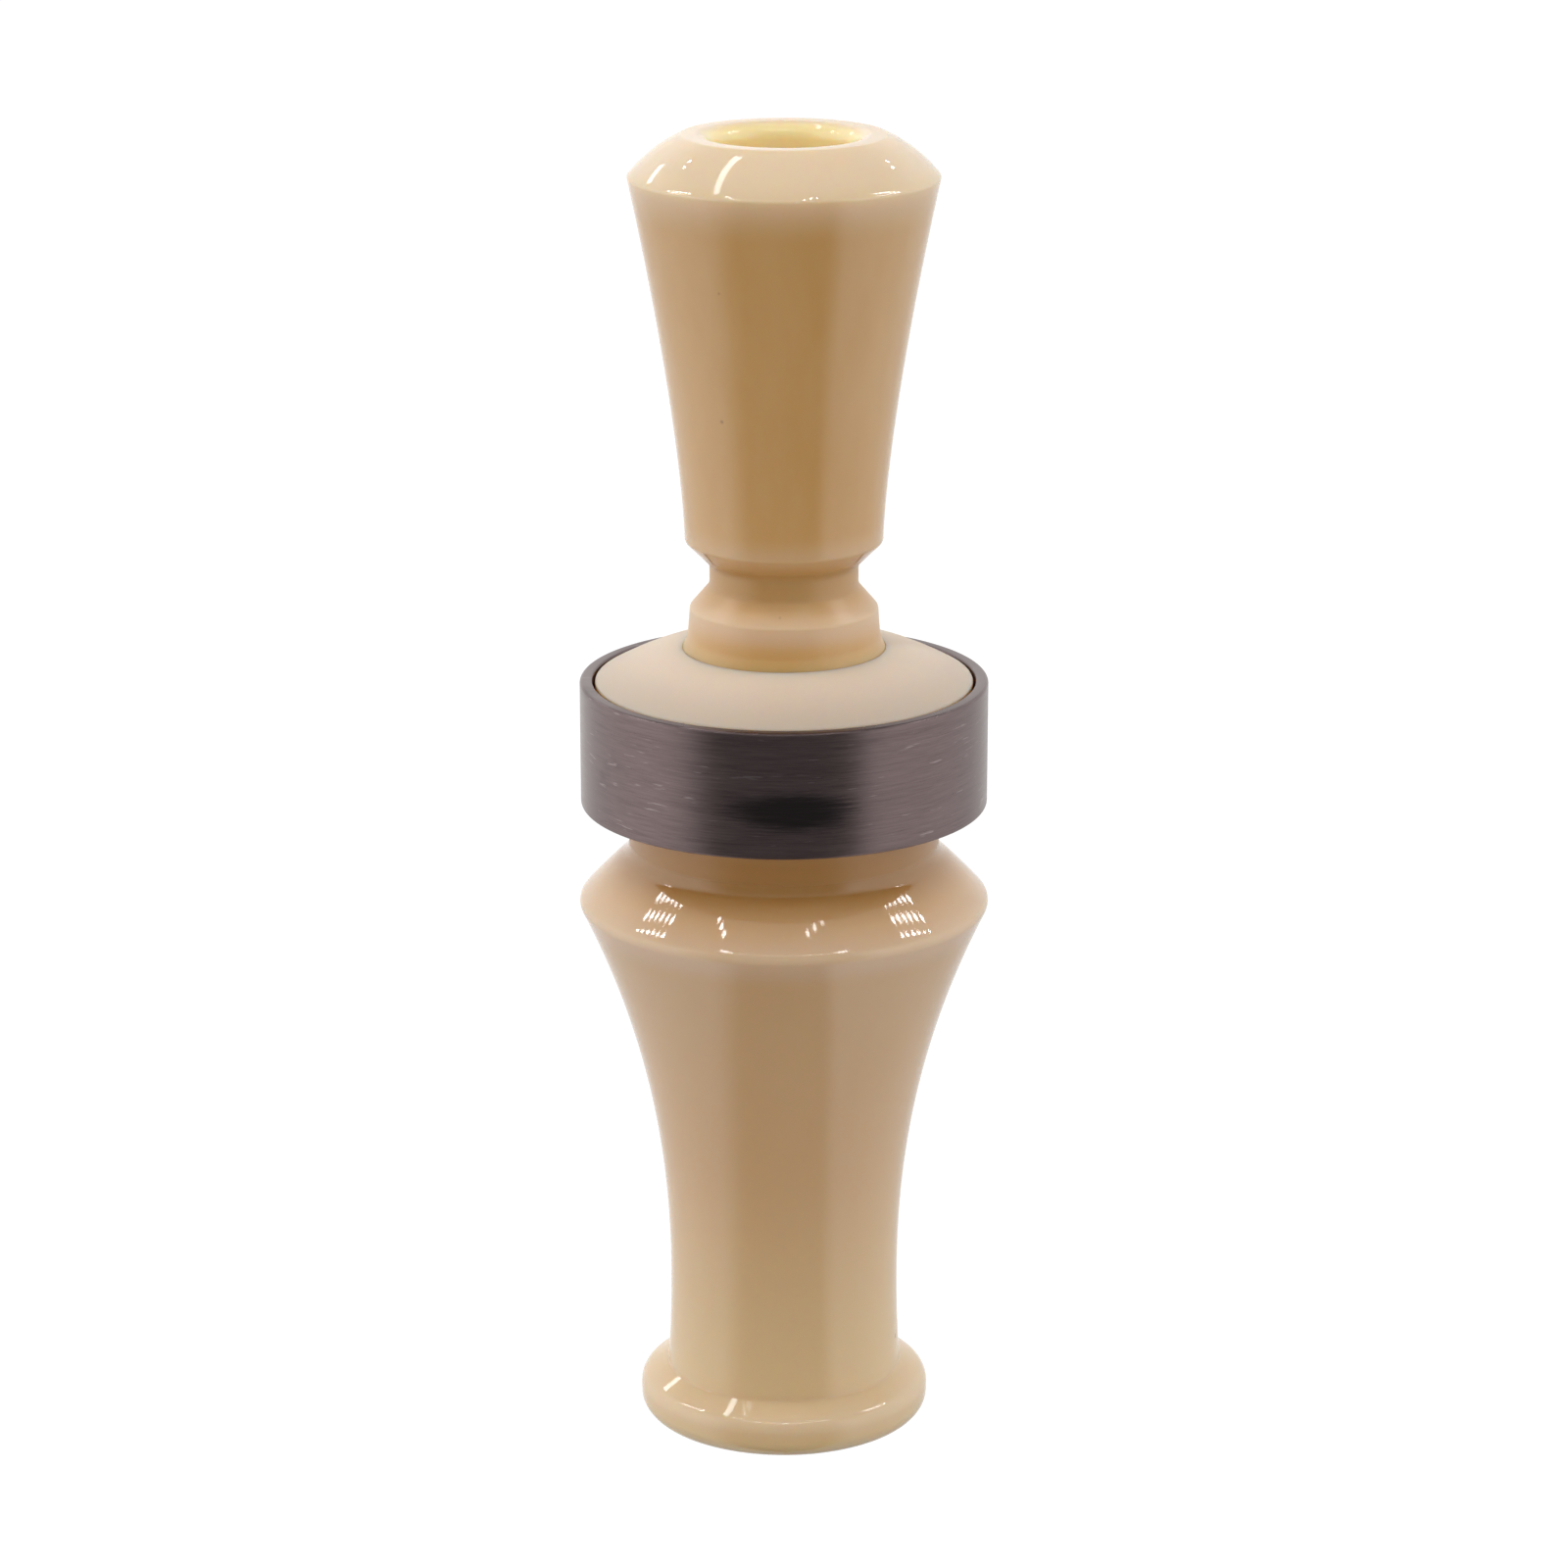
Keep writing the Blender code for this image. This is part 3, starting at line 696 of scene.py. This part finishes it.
# ---- tone board, reeds and wedge ----
def side_mesh():
    """The board's side outline as a thick slab: a table that curves away and a back that rises."""
    steps = 40
    flat_end = SHANK_BOTTOM - 3 * MM
    outline = [(SHANK_BOTTOM + 4 * MM, TABLE_Y)]
    for k in range(steps + 1):
        t = k / steps
        outline.append((flat_end + (TIP_Z - flat_end) * t, TABLE_Y + TABLE_DROP * t * t))
    outline.append((TIP_Z, TABLE_Y + TABLE_DROP + TIP_THICKNESS))
    outline.append((TIP_Z + 18 * MM, 1.2 * BOARD_RADIUS))
    outline.append((SHANK_BOTTOM + 4 * MM, 1.2 * BOARD_RADIUS))
    return slab("board_side", [(y, z) for z, y in outline], 2 * BOARD_RADIUS, along="x")


def make_tone_board():
    """Spigot, shank with two O-ring grooves, half-round board, air channel and notch for the reeds."""
    spigot_top = SHANK_TOP + SPIGOT_LENGTH
    groove_floor = BORE_RADIUS - 0.05 * MM - (RING_SECTION - RING_SQUEEZE) - 0.1 * MM
    groove_half = RING_SECTION / 2 + 0.2 * MM
    corners = [(0, spigot_top, 0), (SPIGOT_RADIUS, spigot_top, 0.4 * MM)]
    corners += [(SPIGOT_RADIUS, SHANK_TOP, 0.1 * MM)]
    corners += [(SHANK_RADIUS, SHANK_TOP, 0.3 * MM)]
    for node_name in ("upper_o_ring", "lower_o_ring"):
        low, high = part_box(node_name)
        ring_z = (low[2] + high[2]) / 2
        corners += [(SHANK_RADIUS, ring_z + groove_half, 0.08 * MM)]
        corners += [(groove_floor, ring_z + groove_half, 0.1 * MM)]
        corners += [(groove_floor, ring_z - groove_half, 0.1 * MM)]
        corners += [(SHANK_RADIUS, ring_z - groove_half, 0.08 * MM)]
    corners += [(SHANK_RADIUS, SHANK_BOTTOM, 0.3 * MM), (0, SHANK_BOTTOM, 0)]
    board = loose("board_step", turned("board_step", rounded(corners, steps=4), segments=96, closed=False))
    lower = loose("board_round", rod_mesh("board_round", BOARD_RADIUS, 0, TIP_Z, SHANK_BOTTOM + 2 * MM))
    side = loose("board_side", side_mesh())
    combine(lower, "INTERSECT", side)
    combine(board, "UNION", lower)
    tools = [lower, side]
    low = (-2 * SHANK_RADIUS, NOTCH_CEILING_Y, SHANK_BOTTOM - 1 * MM)
    notch = loose("notch", box_mesh("notch", low, (2 * SHANK_RADIUS, TABLE_Y, NOTCH_TOP)))
    channel_end = TIP_Z + 5 * MM
    round_end = TIP_Z + 7.5 * MM  # above the slot's end, where the sloping back is thick enough
    slot_high = (CHANNEL_RADIUS, CHANNEL_Y, SHANK_BOTTOM - 1.5 * MM)
    channel = box_mesh("channel_slot", (-CHANNEL_RADIUS, 2 * TABLE_Y, channel_end), slot_high)
    air_way = rod_mesh("channel_round", CHANNEL_RADIUS, CHANNEL_Y, round_end, SHANK_TOP - 2 * MM)
    spigot_way = rod_mesh("spigot_bore", SPIGOT_BORE, 0, SHANK_TOP - 4 * MM, spigot_top + 2 * MM)
    for tool in (notch, loose("slot", channel), loose("way", air_way), loose("bore", spigot_way)):
        combine(board, "DIFFERENCE", tool)
        tools.append(tool)
    bevel = board.modifiers.new("eased_edges", "BEVEL")
    bevel.width = 0.12 * MM
    bevel.segments = 2
    bevel.limit_method = "ANGLE"
    bevel.angle_limit = math.radians(40)
    mesh = baked(board, tools)
    mesh.name = "tone_board_fine"
    smooth(mesh, 35)
    mat = frosted_plastic("tone_board_plastic", BOARD_WHITE, 1400, 0.24, 0.38)
    return new_object("tone_board_fine", mesh, "stopper", mat, ["tone_board"])


def make_reed(name, node_name, body, mat):
    """A reed with clipped round corners and softened edges."""
    low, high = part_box(node_name)
    tip_round = 2.5 * MM
    corners = [(high[0], high[2], 0.4 * MM), (high[0], low[2], tip_round)]
    corners += [(low[0], low[2], tip_round), (low[0], high[2], 0.4 * MM)]
    outline = rounded(corners, steps=10)
    middle = (low[1] + high[1]) / 2
    half = (high[1] - low[1]) / 2
    mesh = slab(name, outline, half, along="y")
    for vert in mesh.vertices:
        vert.co.y += middle
    reed = new_object(name, mesh, body, mat, [node_name])
    bevel = reed.modifiers.new("eased_edges", "BEVEL")
    bevel.width = half * 0.35
    bevel.segments = 2
    bevel.limit_method = "ANGLE"
    bevel.angle_limit = math.radians(50)
    return reed


def make_wedge():
    """Cork wedge with crumbly faces."""
    low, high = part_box("reed_wedge")
    mesh = box_mesh("reed_wedge_fine", low, high)
    bm = bmesh.new()
    bm.from_mesh(mesh)
    bmesh.ops.bevel(bm, geom=bm.edges[:], offset=0.25 * MM, segments=3, affect="EDGES")
    bmesh.ops.subdivide_edges(bm, edges=bm.edges[:], cuts=9, use_grid_fill=True)
    bmesh.ops.triangulate(bm, faces=[f for f in bm.faces if len(f.verts) > 4])
    middle = Vector([(a + b) / 2 for a, b in zip(low, high)])
    for vert in bm.verts:
        crumb = noise.noise(vert.co * 1900) * 0.5 + noise.noise(vert.co * 5200) * 0.5
        vert.co += (middle - vert.co).normalized() * max(0.0, crumb) * 0.09 * MM
    bm.to_mesh(mesh)
    bm.free()
    smooth(mesh, 60)
    return new_object("reed_wedge_fine", mesh, "stopper", cork_material("cork"), ["reed_wedge"])


# ---- light, floor and camera ----
AIM = Vector((0, 0, 0.066))
LIGHT_DISTANCE = 0.9
LED_SIZE = 0.020
ROW_COUNT = 7
ROW_SPREAD = 45  # degrees each way
ROW_ELEVATION = 56
ROW_RADIANCE = 9
SIDE_LEVEL = 1.15  # how bright the room is, by direction
FRONT_LEVEL = 0.26
OVERHEAD_LEVEL = 0.48
LOW_SHARE = 0.75
LENS_MM = 112.5
SENSOR_MM = 36.0
CAMERA_PLACE = (0, -0.430, 0.1901)
CAMERA_TILT = 73.336  # degrees up from straight down


def area_light(name, direction, size, radiance):
    """A lamp at a fixed distance from the call, facing it; radiance sets its brightness for any size."""
    data = bpy.data.lights.new(name, "AREA")
    data.shape = "RECTANGLE"
    data.size, data.size_y = size
    data.energy = radiance * size[0] * size[1] * math.pi
    light = bpy.data.objects.new(name, data)
    scene.collection.objects.link(light)
    away = Vector(direction).normalized()
    light.location = AIM + away * LIGHT_DISTANCE
    light.rotation_euler = away.to_track_quat("Z", "Y").to_euler()
    light.visible_camera = False
    return light


def strip_light(name, start, end, width, radiance):
    """A long lamp between two directions."""
    start = Vector(start).normalized()
    end = Vector(end).normalized()
    away = (start + end).normalized()
    along = end - start
    across = away.cross(along).normalized()
    length = along.length * LIGHT_DISTANCE
    light = area_light(name, away, (length, width), radiance)
    columns = Matrix((along.normalized(), across, away)).transposed()
    light.rotation_euler = columns.to_euler()
    return light


def led_panel(name, start, end, rows, columns, pitch, radiance):
    """A ceiling panel of small lamps, in rows from one direction to another."""
    start = Vector(start)
    end = Vector(end)
    across = start.cross(end).normalized() * pitch
    for j in range(rows):
        for i in range(columns):
            direction = start.lerp(end, j / (rows - 1)) + across * (i - (columns - 1) / 2)
            area_light(f"{name}_{i}_{j}", direction, (LED_SIZE, LED_SIZE), radiance)


def ceiling_row():
    """Ceiling lamps in front and overhead, which draw the thin bright lines along the turned edges."""
    level = math.cos(math.radians(ROW_ELEVATION))
    rise = math.sin(math.radians(ROW_ELEVATION))
    for k in range(ROW_COUNT):
        azimuth = math.radians(ROW_SPREAD * (2 * k / (ROW_COUNT - 1) - 1))
        direction = (level * math.sin(azimuth), -level * math.cos(azimuth), rise)
        area_light(f"ceiling_{k}", direction, (0.10, 0.03), ROW_RADIANCE)


def mouth_light():
    """A narrow beam from the ceiling that reaches into the exhaust mouth."""
    data = bpy.data.lights.new("mouth_light", "SPOT")
    data.energy = 36.0
    data.shadow_soft_size = 0.03
    data.spot_size = math.radians(1.5)
    data.spot_blend = 0.5
    light = bpy.data.objects.new("mouth_light", data)
    scene.collection.objects.link(light)
    away = Vector((-0.05, -0.27, 0.96)).normalized()
    light.location = Vector((0, 0.004, CALL_TOP)) + away * LIGHT_DISTANCE
    light.rotation_euler = away.to_track_quat("Z", "Y").to_euler()
    light.visible_glossy = False


def make_lights():
    """Panels of small lamps overhead, two long windows, and a soft fill that is never seen reflected."""
    led_panel("led_left", (-0.735, 0.260, 0.613), (-0.675, 0.060, 0.735), 6, 3, 0.056, 23)
    led_panel("led_right", (0.735, 0.250, 0.613), (0.665, 0.045, 0.745), 6, 3, 0.056, 23)
    led_panel("led_near_left", (-0.440, -0.180, 0.880), (-0.405, -0.260, 0.877), 3, 1, 0, 19)
    led_panel("led_near_right", (0.165, -0.346, 0.926), (0.265, -0.276, 0.926), 3, 1, 0, 15)
    led_panel("led_far_left", (-0.495, 0.500, 0.711), (-0.440, 0.550, 0.711), 2, 1, 0, 18)
    led_panel("led_far_right", (0.457, 0.612, 0.648), (0.511, 0.564, 0.648), 2, 1, 0, 18)
    ceiling_row()
    strip_light("window_a", (-0.503, -0.096, 0.859), (-0.207, 0.446, 0.871), 0.045, 6)
    strip_light("window_b", (-0.623, 0.615, 0.483), (-0.484, 0.705, 0.519), 0.05, 5)
    fill = area_light("front_fill", (-0.1, -1.0, 0.12), (0.5, 0.5), 1.6)
    fill.visible_glossy = False
    mouth_light()


def make_world():
    """A pale room, darker in front of the call, as where someone stands taking its picture."""
    world = bpy.data.worlds.new("room")
    scene.world = world
    world.use_nodes = True
    tree = world.node_tree
    tree.nodes.clear()
    direction = node(tree, "TexCoord").outputs["Generated"]
    parts = node(tree, "SeparateXYZ", {0: direction})
    x, y, z = parts.outputs
    forward = calc(tree, "MULTIPLY", y, -1.0)
    azimuth = calc(tree, "ARCTAN2", x, forward)
    right = ramp(tree, azimuth, math.radians(34), math.radians(56))
    left = ramp(tree, calc(tree, "MULTIPLY", azimuth, -1.0), math.radians(36), math.radians(70))
    side = calc(tree, "ADD", calc(tree, "MULTIPLY", right, 0.9), calc(tree, "MULTIPLY", left, 1.05))
    behind = ramp(tree, calc(tree, "ABSOLUTE", azimuth), math.radians(95), math.radians(150), 1.0, 0.72)
    side = calc(tree, "MULTIPLY", side, behind)
    overhead = ramp(tree, z, 0.45, 0.80)
    level = calc(tree, "ADD", calc(tree, "MULTIPLY", side, SIDE_LEVEL), FRONT_LEVEL)
    level = blend_values(tree, overhead, level, OVERHEAD_LEVEL)
    below = ramp(tree, z, -0.75, 0.0, LOW_SHARE, 1.0)
    level = calc(tree, "MULTIPLY", level, below)
    seen = node(tree, "LightPath").outputs["Is Camera Ray"]
    room = node(tree, "Background", {"Color": (1.0, 0.985, 0.97, 1.0), "Strength": level})
    plain = node(tree, "Background", {"Color": (1.0, 1.0, 1.0, 1.0), "Strength": 1.0})
    mixed = node(tree, "MixShader", {0: seen, 1: room.outputs[0], 2: plain.outputs[0]})
    out = node(tree, "OutputWorld")
    tree.links.new(mixed.outputs[0], out.inputs["Surface"])


def make_floor():
    """A pale floor that the camera sees as almost plain white."""
    bm = bmesh.new()
    bmesh.ops.create_grid(bm, x_segments=1, y_segments=1, size=2.5)
    mesh = bpy.data.meshes.new("floor")
    bm.to_mesh(mesh)
    bm.free()
    floor = bpy.data.objects.new("floor", mesh)
    scene.collection.objects.link(floor)
    mat = bpy.data.materials.new("floor")
    mat.use_nodes = True
    tree = mat.node_tree
    shader = tree.nodes["Principled BSDF"]
    shader.inputs["Base Color"].default_value = (0.45, 0.45, 0.45, 1.0)
    shader.inputs["Roughness"].default_value = 0.9
    shader.inputs["Specular IOR Level"].default_value = 0.0
    seen = node(tree, "LightPath").outputs["Is Camera Ray"]
    glow = node(tree, "Emission", {"Strength": 1.15})
    share = calc(tree, "MULTIPLY", seen, 0.88)
    mixed = node(tree, "MixShader", {0: share, 1: shader.outputs[0], 2: glow.outputs[0]})
    tree.links.new(mixed.outputs[0], tree.nodes["Material Output"].inputs["Surface"])
    mesh.materials.append(mat)
    floor.visible_glossy = False


def make_camera():
    data = bpy.data.cameras.new("camera")
    data.lens = LENS_MM
    data.sensor_width = SENSOR_MM
    data.clip_start = 0.01
    camera = bpy.data.objects.new("camera", data)
    scene.collection.objects.link(camera)
    camera.location = CAMERA_PLACE
    camera.rotation_euler = (math.radians(CAMERA_TILT), 0, 0)
    scene.camera = camera


def main():
    scene.view_settings.view_transform = "Standard"
    scene.view_settings.look = "None"
    make_camera()
    make_world()
    make_floor()
    make_lights()
    make_barrel()
    make_band()
    make_stopper()
    make_tone_board()
    film = reed_film("reed_film")
    make_reed("long_reed_fine", "long_reed", "long_reed", film)
    make_reed("short_reed_fine", "short_reed", "short_reed", film)
    make_wedge()
    rubber = rubber_material("seal_rubber")
    make_o_ring("upper_o_ring_fine", "upper_o_ring", rubber)
    make_o_ring("lower_o_ring_fine", "lower_o_ring", rubber)


main()
